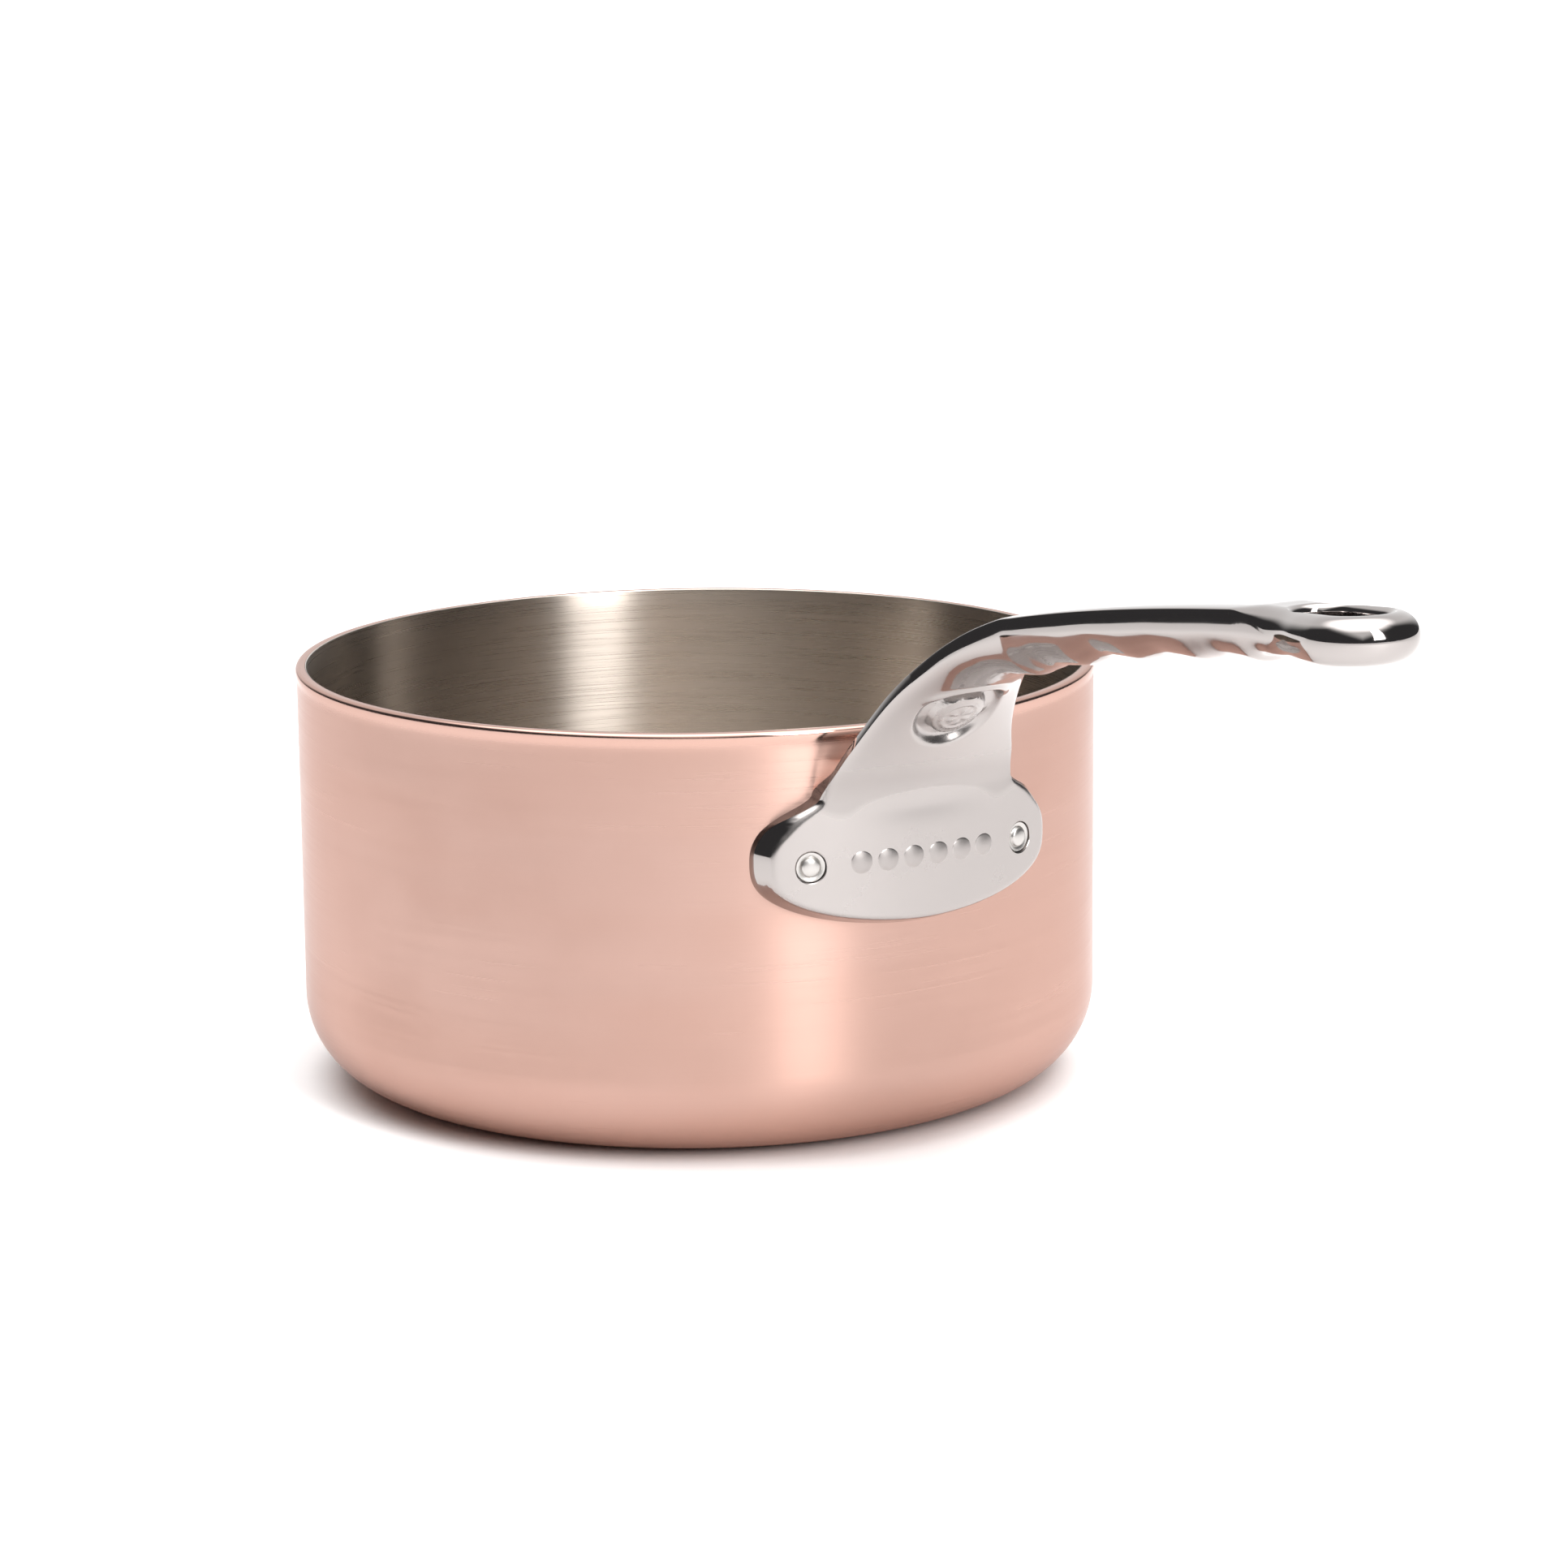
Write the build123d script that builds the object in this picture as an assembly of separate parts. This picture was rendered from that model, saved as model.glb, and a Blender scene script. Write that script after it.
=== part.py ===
from build123d import *
import math
import os

# Copper saucepan with a cast stainless handle, millimetres.
# Origin on the pan's axis at the underside of the base, +Z up, +X along the handle.

# pan
inner_radius = 80.0
copper_thickness = 1.8
lining_thickness = 0.2
pan_height = 86.8
corner_radius = 18.0
rim_flare = 0.3
rim_flare_height = 3.0
rim_round = 0.9
rim_land_inset = 0.25

# magnetic disc bonded under the base
disc_inset = 1.5
disc_thickness = 0.6
disc_edge = 0.3

# flange of the handle; its widest level is measured down from the rim
flange_thickness = 5.0
flange_edge_round = 2.4
flange_width = 65.4
flange_drop = 25.3
flange_below = 14.1
flange_above = 15.0
# its outline passes through these shares of the half width, at these distances from its levels
flange_foot_share = 0.45
flange_foot_rise = 1.1
flange_side_share = 0.82
flange_side_rise = 4.8
flange_shoulder_share = 0.85
flange_shoulder_rise = 8.9
flange_crown_share = 0.6
flange_crown_drop = 2.2

# rivets
rivet_drop = 25.8
rivet_edge_distance = 10.1
shank_diameter = 5.0
shank_gap = 0.05
set_head_ledge = 0.55
set_head_gap = 0.05
set_head_thickness = 1.2
set_head_recess = 0.4
button_margin = 1.15
button_height = 0.7
inner_head_diameter = 14.0
inner_head_height = 2.4

# grip: distance out from the wall, rise above the rim, length and sections
grip_reach = 42.0
grip_lift = 24.1
grip_length = 73.0
grip_rise = 11.5
grip_half_width = 9.0
grip_upper = 3.9
grip_lower = 6.0
grip_bow = 0.6
grip_shoulder = 1.2
finger_bumps = 4
finger_depth = 0.3
first_bump_extra = 2.2
first_bump_fade = 3

# cross-section of neck and grip: points round it and how square each half is
section_points = 20
upper_squareness = 3.0
lower_squareness = 2.3

# tail of the bar, buried in the loop
tail_length = 5.0
tail_rise = 0.9
tail_half_width = 7.4
tail_upper = 2.9
tail_lower = 5.0

# hanging loop, positions measured from the grip's end in the loop's tilted plane
loop_tilt = 4.0
loop_rise = 0.7
loop_thickness = 8.7
loop_reach = 22.0
loop_radius = 10.7
loop_edge_round = 3.8
waist_reach = 11.5
waist_half_width = 8.1
shoulder_share = 0.45
shoulder_swell = 0.5
eye_reach = 13.5
eye_run = 8.9
eye_radius = 5.4

# medallion on the neck, from the wall and the rim
medallion_radius = 5.5
medallion_groove_width = 3.2
medallion_groove_depth = 1.7
medallion_slope = 48.0
medallion_reach = 16.2
medallion_lift = 3.8

# ornament on the flange
ornament_height = 0.45
ornament_drop = 25.6
ornament_root = 0.6
bead_diameter = 4.4
bead_pitch = 5.6
bead_count = 6

# how far cutters and blanks run past the metal they cut
overrun = 2.0
blank_overrun = 20.0

# fits and positions that follow from the sizes above
copper_inner = inner_radius + lining_thickness
outer_radius = copper_inner + copper_thickness
disc_radius = outer_radius - corner_radius - disc_inset
flange_face = outer_radius + flange_thickness
flange_widest = pan_height - flange_drop
flange_bottom = flange_widest - flange_below
flange_top = flange_widest + flange_above
rivet_height = pan_height - rivet_drop
rivet_angle = math.degrees(math.asin((flange_width / 2 - rivet_edge_distance) / outer_radius))
hole_diameter = shank_diameter + 2 * shank_gap
set_head_diameter = shank_diameter + 2 * set_head_ledge
button_diameter = set_head_diameter - 2 * button_margin
counterbore_diameter = set_head_diameter + 2 * set_head_gap
set_head_seat = flange_face - set_head_recess - set_head_thickness
grip_start = outer_radius + grip_reach
grip_end = grip_start + grip_length
grip_start_level = pan_height + grip_lift
grip_end_level = grip_start_level + grip_rise
loop_centre = grip_end + loop_reach
loop_level = grip_end_level + loop_rise
ornament_level = pan_height - ornament_drop


def ring_shell(inner, outer, low, high):
    """Upright tube between two radii and two levels."""
    tube = Cylinder(outer, high - low, align=(Align.CENTER, Align.CENTER, Align.MIN))
    tube -= Cylinder(inner, high - low, align=(Align.CENTER, Align.CENTER, Align.MIN))
    return Pos(0, 0, low) * tube


def radial_plane(angle, radius, level):
    """Plane whose normal points straight out of the pan's wall."""
    turn = math.radians(angle)
    outward = (math.cos(turn), math.sin(turn), 0)
    origin = (radius * outward[0], radius * outward[1], level)
    return Plane(origin=origin, x_dir=(-outward[1], outward[0], 0), z_dir=outward)


def spin(profile_edges):
    """Solid of revolution about the pan's axis from edges drawn in XZ."""
    return revolve(make_face(profile_edges), axis=Axis.Z)


# ---------------------------------------------------------------- pan
def pan_body():
    """Copper shell: flat base, round corner, straight wall, flared rim."""
    inside_corner = corner_radius - copper_thickness
    floor = disc_thickness + copper_thickness
    base_flat = outer_radius - corner_radius
    inner_flat = copper_inner - inside_corner
    flare_radius = outer_radius + rim_flare
    diag = math.sqrt(0.5)
    outer_mid = (base_flat + corner_radius * diag, 0, disc_thickness + corner_radius * (1 - diag))
    inner_mid = (inner_flat + inside_corner * diag, 0, floor + inside_corner * (1 - diag))
    rim_mid = (flare_radius - rim_round * (1 - diag), 0, pan_height - rim_round * (1 - diag))
    outline = [
        Line((0, 0, disc_thickness), (base_flat, 0, disc_thickness)),
        ThreePointArc((base_flat, 0, disc_thickness), outer_mid,
                      (outer_radius, 0, disc_thickness + corner_radius)),
        Line((outer_radius, 0, disc_thickness + corner_radius),
             (outer_radius, 0, pan_height - rim_flare_height)),
        Line((outer_radius, 0, pan_height - rim_flare_height),
             (flare_radius, 0, pan_height - rim_round)),
        ThreePointArc((flare_radius, 0, pan_height - rim_round), rim_mid,
                      (flare_radius - rim_round, 0, pan_height)),
        Line((flare_radius - rim_round, 0, pan_height), (copper_inner, 0, pan_height)),
        Line((copper_inner, 0, pan_height), (copper_inner, 0, floor + inside_corner)),
        ThreePointArc((copper_inner, 0, floor + inside_corner), inner_mid, (inner_flat, 0, floor)),
        Line((inner_flat, 0, floor), (0, 0, floor)),
        Line((0, 0, floor), (0, 0, disc_thickness)),
    ]
    return spin(outline)


def pan_lining():
    """Thin steel lining bonded over the whole inside of the copper."""
    outer_corner = corner_radius - copper_thickness
    inner_corner = outer_corner - lining_thickness
    underside = disc_thickness + copper_thickness
    floor = underside + lining_thickness
    flat = copper_inner - outer_corner
    diag = math.sqrt(0.5)
    outer_mid = (flat + outer_corner * diag, 0, underside + outer_corner * (1 - diag))
    inner_mid = (flat + inner_corner * diag, 0, floor + inner_corner * (1 - diag))
    outline = [
        Line((0, 0, underside), (flat, 0, underside)),
        ThreePointArc((flat, 0, underside), outer_mid, (copper_inner, 0, underside + outer_corner)),
        Line((copper_inner, 0, underside + outer_corner), (copper_inner, 0, pan_height)),
        Line((copper_inner, 0, pan_height), (inner_radius, 0, pan_height - rim_land_inset)),
        Line((inner_radius, 0, pan_height - rim_land_inset), (inner_radius, 0, floor + inner_corner)),
        ThreePointArc((inner_radius, 0, floor + inner_corner), inner_mid, (flat, 0, floor)),
        Line((flat, 0, floor), (0, 0, floor)),
        Line((0, 0, floor), (0, 0, underside)),
    ]
    return spin(outline)


def base_disc():
    """Magnetic layer the pan stands on."""
    disc = Cylinder(disc_radius, disc_thickness, align=(Align.CENTER, Align.CENTER, Align.MIN))
    return chamfer(disc.edges().group_by(Axis.Z)[0], disc_edge)


# ---------------------------------------------------------------- handle
def section(place, along, half_width, upper, lower):
    """Closed cross-section: squarish above its widest line, rounder below it."""
    plane = Plane(origin=place, x_dir=(0, 1, 0), z_dir=along)
    points = []
    for i in range(section_points):
        t = 2 * math.pi * i / section_points
        c, s = math.cos(t), math.sin(t)
        power = upper_squareness if s > 0 else lower_squareness
        depth = upper if s > 0 else lower
        across = half_width * math.copysign(abs(c) ** (2 / power), c)
        rise = depth * math.copysign(abs(s) ** (2 / power), s)
        points.append((across, rise))
    return plane * make_face(Spline(*points, periodic=True))


def neck_stations():
    """Distance from the wall, rise over the rim, half width, depth above, depth below."""
    stations = [
        (1.0, -22.8, 20.0, 0.8, 3.0),
        (1.5, -15.8, 22.2, 1.2, 2.8),
        (3.6, -8.3, 20.4, 1.6, 2.9),
        (8.4, 0.1, 17.2, 1.6, 3.5),
        (15.4, 8.8, 14.4, 1.6, 4.3),
        (23.5, 15.6, 11.9, 1.8, 5.3),
        (32.5, 20.5, 10.5, 2.3, 6.5),
    ]
    return [(outer_radius + out, pan_height + up, half, above, below)
            for out, up, half, above, below in stations]


def grip_stations():
    """One station on every finger bump and one between bumps."""
    count = 2 * finger_bumps
    stations = []
    for i in range(count + 1):
        t = i / count
        x = grip_start + grip_length * t
        level = grip_start_level + grip_rise * t + grip_bow * 4 * t * (1 - t)
        wave = finger_depth if i % 2 == 0 else -finger_depth
        extra = first_bump_extra * max(0, 1 - i / first_bump_fade)
        upper = grip_upper - grip_shoulder * (1 - t) ** 3
        stations.append((x, level, grip_half_width, upper, grip_lower + wave + extra))
    return stations


def bar_loft():
    """Neck and grip as one smooth bar, both ends buried in the flange and the loop."""
    tail = (grip_end + tail_length, grip_end_level + tail_rise,
            tail_half_width, tail_upper, tail_lower)
    stations = neck_stations() + grip_stations() + [tail]
    path = Spline(*[(s[0], 0, s[1]) for s in stations])
    faces = []
    for x, level, half_width, upper, lower in stations:
        at = path.param_at_point((x, 0, level))
        faces.append(section((x, 0, level), path.tangent_at(at), half_width, upper, lower))
    return loft(faces)


def flange():
    """Bean-shaped plate bent round the wall."""
    half = flange_width / 2
    right = [
        (0, flange_bottom),
        (half * flange_foot_share, flange_bottom + flange_foot_rise),
        (half * flange_side_share, flange_bottom + flange_side_rise),
        (half, flange_widest),
        (half * flange_shoulder_share, flange_widest + flange_shoulder_rise),
        (half * flange_crown_share, flange_top - flange_crown_drop),
        (0, flange_top),
    ]
    left = [(-y, z) for y, z in reversed(right[1:-1])]
    outline = Spline(*(right + left), periodic=True)
    plate = extrude(Plane.YZ * make_face(outline), outer_radius + blank_overrun)
    plate &= ring_shell(outer_radius, flange_face, 0, pan_height * 2)
    front = plate.faces().filter_by(GeomType.CYLINDER).sort_by(Axis.X)[-1]
    return fillet(front.edges(), flange_edge_round)


def loop_plane(down=0.0):
    """Plane of the loop's top face, moved down its own normal."""
    turn = math.radians(loop_tilt)
    normal = (-math.sin(turn), 0, math.cos(turn))
    top = loop_level + loop_thickness / 2 + loop_reach * math.tan(turn) / 2
    origin = (loop_centre - down * normal[0], 0, top - down * normal[2])
    return Plane(origin=origin, x_dir=(math.cos(turn), 0, math.sin(turn)), z_dir=normal)


def hanging_loop():
    """Waisted ring at the end of the bar, before its eye is cut."""
    start = -loop_reach
    waist = waist_reach - loop_reach
    middle_width = (waist_half_width + loop_radius) / 2
    shoulder = (waist * shoulder_share, middle_width + shoulder_swell)
    near = Spline((start, -waist_half_width), (waist, -waist_half_width),
                  (shoulder[0], -shoulder[1]), (0, -loop_radius),
                  tangents=[(1, 0), (1, 0)])
    tip = ThreePointArc((0, -loop_radius), (loop_radius, 0), (0, loop_radius))
    far = Spline((0, loop_radius), shoulder, (waist, waist_half_width),
                 (start, waist_half_width), tangents=[(-1, 0), (-1, 0)])
    root = Line((start, waist_half_width), (start, -waist_half_width))
    outline = make_face([near, tip, far, root])
    ring = extrude(loop_plane(loop_thickness) * outline, loop_thickness)
    root_end = ring.bounding_box().min.X
    ends = [e for e in ring.edges() if e.center().X > root_end + overrun]
    # edges lying in the two faces, not those that run through the thickness
    flat = [e for e in ends if e.bounding_box().size.Z < loop_thickness / 2]
    return fillet(flat, loop_edge_round)


def eye_tool():
    """Slot that is cut through the loop."""
    length = eye_run + 2 * eye_radius
    middle = eye_reach + eye_run / 2 - loop_reach
    slot = Pos(middle, 0) * SlotOverall(length, 2 * eye_radius)
    return extrude(loop_plane(loop_thickness + overrun) * slot, loop_thickness + 2 * overrun)


def medallion_groove():
    """Ring groove round a plain medallion on the neck's outer face."""
    turn = math.radians(medallion_slope)
    outward = (math.sin(turn), 0, -math.cos(turn))
    origin = (outer_radius + medallion_reach, 0, pan_height + medallion_lift)
    centre = Plane(origin=origin, x_dir=(0, 1, 0), z_dir=outward)
    middle = medallion_radius + medallion_groove_width / 2
    round_radius = medallion_groove_width / 2
    deep = medallion_groove_depth - round_radius
    groove = Torus(middle, round_radius)
    above = ring_shell(medallion_radius, middle + round_radius, 0, blank_overrun)
    return centre * Pos(0, 0, -deep) * (groove + above)


def ornament():
    """Row of low raised beads, in place of lettering."""
    half = bead_diameter / 2
    ball = (half ** 2 + ornament_height ** 2) / (2 * ornament_height)
    centre = flange_face + ornament_height - ball
    beads = []
    for i in range(bead_count):
        angle = math.degrees((i - (bead_count - 1) / 2) * bead_pitch / flange_face)
        beads.append(radial_plane(angle, centre, ornament_level) * Sphere(ball))
    root = flange_face - ornament_root
    band = ring_shell(root, flange_face + ornament_height, 0, pan_height)
    return [bead & band for bead in beads]


def rivet_plane(side, radius):
    return radial_plane(side * rivet_angle, radius, rivet_height)


def drill(side, diameter, low, high):
    """Cutter for a radial hole at one rivet, between two radii."""
    cutter = Cylinder(diameter / 2, high - low, align=(Align.CENTER, Align.CENTER, Align.MIN))
    return rivet_plane(side, low) * cutter


def turned(points, crown):
    """Turned piece on its own axis: corner points from the axis out, then a domed end."""
    edges = [Line((a[0], 0, a[1]), (b[0], 0, b[1])) for a, b in zip(points, points[1:])]
    r, base = points[-1]
    rise = crown - base
    ball = (r ** 2 + rise ** 2) / (2 * abs(rise))
    half_angle = math.asin(r / ball) / 2
    sink = math.copysign(ball * (1 - math.cos(half_angle)), rise)
    bend = (ball * math.sin(half_angle), 0, crown - sink)
    edges.append(ThreePointArc((r, 0, base), bend, (0, 0, crown)))
    edges.append(Line((0, 0, crown), (0, 0, points[0][1])))
    return spin(edges)


def rivet(side):
    """Shank through the wall, domed head inside, set head and button outside."""
    sagitta = inner_radius - math.sqrt(inner_radius ** 2 - (inner_head_diameter / 2) ** 2)
    bite = inner_head_height / 2
    head_half = inner_head_diameter / 2
    head = turned([(0, sagitta + bite), (head_half, sagitta + bite), (head_half, 0)],
                  crown=-inner_head_height)
    head = rivet_plane(side, inner_radius - sagitta) * head
    head -= ring_shell(inner_radius, outer_radius, 0, pan_height)
    seat = set_head_seat - inner_radius
    shank = turned([(0, -bite), (shank_diameter / 2, -bite), (shank_diameter / 2, seat),
                    (set_head_diameter / 2, seat),
                    (set_head_diameter / 2, seat + set_head_thickness),
                    (button_diameter / 2, seat + set_head_thickness)],
                   crown=seat + set_head_thickness + button_height)
    return head + rivet_plane(side, inner_radius) * shank


# ---------------------------------------------------------------- assembly
parts = {
    "copper_body": pan_body(),
    "steel_lining": pan_lining(),
    "magnetic_base": base_disc(),
    "handle": (bar_loft() + flange() + hanging_loop() - eye_tool() - medallion_groove()
               + ornament()),
    "rivet_right": rivet(-1),
    "rivet_left": rivet(1),
}
for side in (-1, 1):
    for name in ("copper_body", "steel_lining", "handle"):
        parts[name] -= drill(side, hole_diameter, inner_radius - overrun, flange_face + overrun)
    parts["handle"] -= drill(side, counterbore_diameter, set_head_seat, flange_face + overrun)

os.makedirs("parts", exist_ok=True)
for name, part in parts.items():
    export_step(part, f"parts/{name}.step")
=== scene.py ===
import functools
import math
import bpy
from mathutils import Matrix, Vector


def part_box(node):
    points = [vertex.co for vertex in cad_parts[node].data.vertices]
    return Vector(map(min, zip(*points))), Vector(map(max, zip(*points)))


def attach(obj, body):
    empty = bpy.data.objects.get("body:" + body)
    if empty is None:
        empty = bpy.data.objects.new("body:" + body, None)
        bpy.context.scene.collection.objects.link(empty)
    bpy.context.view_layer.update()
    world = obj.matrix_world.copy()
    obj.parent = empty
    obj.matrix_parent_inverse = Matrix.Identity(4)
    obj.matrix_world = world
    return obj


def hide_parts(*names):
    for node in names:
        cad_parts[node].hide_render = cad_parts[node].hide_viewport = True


bl_info = {
    "name": "Riveted Saucepan Maker",
    "version": (1, 0, 0),
    "blender": (4, 5, 0),
    "location": "View3D > Sidebar > Saucepan",
    "description": "Makes a copper saucepan with a cast handle round its measured frame",
    "category": "Add Mesh",
}

import bmesh
import bpy
import numpy as np
from mathutils import Matrix, Vector

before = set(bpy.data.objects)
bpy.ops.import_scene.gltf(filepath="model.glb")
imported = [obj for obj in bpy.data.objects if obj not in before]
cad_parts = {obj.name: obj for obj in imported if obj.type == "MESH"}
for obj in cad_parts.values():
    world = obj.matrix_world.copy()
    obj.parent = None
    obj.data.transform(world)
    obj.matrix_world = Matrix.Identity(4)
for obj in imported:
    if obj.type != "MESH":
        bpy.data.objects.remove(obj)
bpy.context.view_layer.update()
MM = 0.001
PAN_LOW, PAN_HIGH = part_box("copper_body")
LINING_LOW, LINING_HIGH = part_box("steel_lining")
DISC_LOW, DISC_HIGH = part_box("magnetic_base")
HANDLE_LOW, HANDLE_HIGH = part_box("handle")


# ------------------------------------------------------------------ settings
class PanSettings(bpy.types.PropertyGroup):
    height: bpy.props.FloatProperty(
        name="Rim height", description="Height of the rim over the worktop",
        default=PAN_HIGH.z, unit="LENGTH")
    wall: bpy.props.FloatProperty(
        name="Copper wall", description="Thickness of the copper",
        default=1.8 * MM, unit="LENGTH")
    lining: bpy.props.FloatProperty(
        name="Lining", description="Thickness of the steel lining",
        default=LINING_HIGH.x - 80 * MM, unit="LENGTH")
    corner: bpy.props.FloatProperty(
        name="Corner radius", description="Outside radius between base and wall",
        default=18 * MM, unit="LENGTH")
    flare: bpy.props.FloatProperty(
        name="Rim flare", description="How far the rim stands out past the wall",
        default=0.3 * MM, unit="LENGTH")
    segments: bpy.props.IntProperty(
        name="Segments", description="Facets round the pan", default=256, min=32)
    copper: bpy.props.FloatVectorProperty(
        name="Copper", description="Colour of the polished copper", subtype="COLOR",
        size=3, default=(0.515, 0.33, 0.275))
    steel: bpy.props.FloatVectorProperty(
        name="Lining steel", description="Colour of the brushed lining", subtype="COLOR",
        size=3, default=(0.56, 0.50, 0.445))


class HandleSettings(bpy.types.PropertyGroup):
    flange_width: bpy.props.FloatProperty(
        name="Flange width", description="Width of the plate that is riveted to the wall",
        default=HANDLE_HIGH.y - HANDLE_LOW.y, unit="LENGTH")
    flange_thickness: bpy.props.FloatProperty(
        name="Flange thickness", description="Thickness of the plate",
        default=5 * MM, unit="LENGTH")
    edge_round: bpy.props.FloatProperty(
        name="Edge rounding", description="Radius along the plate's outer edge",
        default=1.1 * MM, unit="LENGTH")
    groove: bpy.props.FloatProperty(
        name="Medallion groove", description="Depth of the groove round the medallion",
        default=1.9 * MM, unit="LENGTH")
    polish: bpy.props.FloatVectorProperty(
        name="Polished steel", description="Colour of the polished casting",
        subtype="COLOR", size=3, default=(0.39, 0.362, 0.35))


class RivetSettings(bpy.types.PropertyGroup):
    level: bpy.props.FloatProperty(
        name="Level", description="Height of the rivets over the worktop",
        default=61 * MM, unit="LENGTH")
    angle: bpy.props.FloatProperty(
        name="Angle", description="Angle of each rivet from the handle's centre plane",
        default=math.radians(16), unit="ROTATION")
    steel: bpy.props.FloatVectorProperty(
        name="Rivet steel", description="Colour of the satin rivets", subtype="COLOR",
        size=3, default=(0.52, 0.50, 0.48))


class StageSettings(bpy.types.PropertyGroup):
    azimuth: bpy.props.FloatProperty(
        name="Camera azimuth", description="From the handle's direction, clockwise from above",
        default=math.radians(30.3), unit="ROTATION")
    distance: bpy.props.FloatProperty(
        name="Camera distance", description="Level distance from the pan's axis",
        default=0.98784, unit="LENGTH")
    height: bpy.props.FloatProperty(
        name="Camera height", description="Height over the worktop",
        default=0.271065, unit="LENGTH")
    yaw: bpy.props.FloatProperty(
        name="Yaw", description="Aim to the right of the pan's axis",
        default=0.0182, unit="ROTATION")
    pitch: bpy.props.FloatProperty(
        name="Pitch", description="Aim below level", default=0.2111, unit="ROTATION")
    roll: bpy.props.FloatProperty(
        name="Roll", description="Turn about the view direction",
        default=-0.0098, unit="ROTATION")
    lens: bpy.props.FloatProperty(
        name="Focal length", description="In millimetres, on a sensor 36 mm wide",
        default=111.8)
    sky: bpy.props.FloatProperty(
        name="Room light", description="Strength of the soft light from all round",
        default=1.8, min=0)
    strip_power: bpy.props.FloatProperty(
        name="Strip light", description="Power of the upright strip", default=36.0,
        min=0, unit="POWER")


# ------------------------------------------------------------------ small tools
def new_object(name, vertices, faces, smooth=True, edges=()):
    """Object in the scene with a mesh of these points, in metres."""
    mesh = bpy.data.meshes.new(name)
    mesh.from_pydata([tuple(v) for v in vertices], list(edges), [tuple(f) for f in faces])
    mesh.validate()
    if smooth and faces:
        mesh.shade_smooth()
    obj = bpy.data.objects.new(name, mesh)
    bpy.context.scene.collection.objects.link(obj)
    return obj


def settle(obj):
    """Turns an object with modifiers into a plain mesh."""
    depsgraph = bpy.context.evaluated_depsgraph_get()
    mesh = bpy.data.meshes.new_from_object(obj.evaluated_get(depsgraph), depsgraph=depsgraph)
    obj.modifiers.clear()
    obj.data = mesh
    return obj


def dress(obj, material, slot_name, *nodes):
    """Material, body and the nodes it stands for."""
    obj.data.materials.clear()
    obj.data.materials.append(material)
    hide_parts(*nodes)
    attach(obj, "root")
    return obj


def smoothstep(a, b, x):
    t = np.clip((x - a) / (b - a), 0, 1)
    return t * t * (3 - 2 * t)


def smootherstep(a, b, x):
    t = np.clip((x - a) / (b - a), 0, 1)
    return t ** 3 * (t * (6 * t - 15) + 10)


def arc(centre, radius, start, end, steps):
    """Points on an arc in the profile's plane, angles in degrees."""
    angles = np.radians(np.linspace(start, end, steps))
    return [(centre[0] + radius * math.cos(a), centre[1] + radius * math.sin(a)) for a in angles]


# ------------------------------------------------------------------ node helpers
class Tree:
    """Short calls for building a node tree."""

    def __init__(self, tree):
        self.tree = tree

    def node(self, kind, **settings):
        made = self.tree.nodes.new(kind)
        for key, value in settings.items():
            setattr(made, key, value)
        return made

    def link(self, source, target):
        self.tree.links.new(source, target)

    def put(self, target, value):
        if isinstance(value, bpy.types.NodeSocket):
            self.link(value, target)
        else:
            target.default_value = value

    def math(self, operation, a, b=0.0):
        made = self.node("ShaderNodeMath", operation=operation)
        self.put(made.inputs[0], a)
        self.put(made.inputs[1], b)
        return made.outputs[0]

    def times(self, a, b):
        return self.math("MULTIPLY", a, b)

    def plus(self, a, b):
        return self.math("ADD", a, b)

    def minus(self, a, b):
        return self.math("SUBTRACT", a, b)

    def length(self, x, y):
        """Length of a flat vector."""
        return self.math("SQRT", self.plus(self.times(x, x), self.times(y, y)))

    def place(self):
        """Object coordinates in metres."""
        return self.node("ShaderNodeTexCoord").outputs["Object"]

    def separate(self, vector):
        made = self.node("ShaderNodeSeparateXYZ")
        self.link(vector, made.inputs[0])
        return made.outputs

    def through(self, kind, geometry, **values):
        """Geometry passed through a node with these inputs."""
        made = self.node(kind)
        self.put(made.inputs["Geometry"], geometry)
        for key, value in values.items():
            self.put(made.inputs[key], value)
        return made.outputs[0]

    def blend(self, factor, a, b):
        """Colour mix."""
        made = self.node("ShaderNodeMix", data_type="RGBA")
        self.put(made.inputs[0], factor)
        self.put(made.inputs[6], a)
        self.put(made.inputs[7], b)
        return made.outputs[2]

    def noise(self, vector, scale, detail=2.0, roughness=0.5):
        made = self.node("ShaderNodeTexNoise")
        self.put(made.inputs["Vector"], vector)
        self.put(made.inputs["Scale"], scale)
        made.inputs["Detail"].default_value = detail
        made.inputs["Roughness"].default_value = roughness
        return made.outputs["Fac"]

    def ramp(self, value, low, high, to_low=0.0, to_high=1.0):
        made = self.node("ShaderNodeMapRange")
        made.interpolation_type = "SMOOTHSTEP"
        for socket, v in zip(made.inputs, (value, low, high, to_low, to_high)):
            self.put(socket, v)
        return made.outputs[0]

    def xyz(self, x, y, z):
        made = self.node("ShaderNodeCombineXYZ")
        for socket, v in zip(made.inputs, (x, y, z)):
            self.put(socket, v)
        return made.outputs[0]


def shared_group(name):
    """Marks the builder of a node group, which is built once and then shared."""
    def wrap(build):
        @functools.wraps(build)
        def group():
            return bpy.data.node_groups.get(name) or build(name)
        return group
    return wrap


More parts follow.
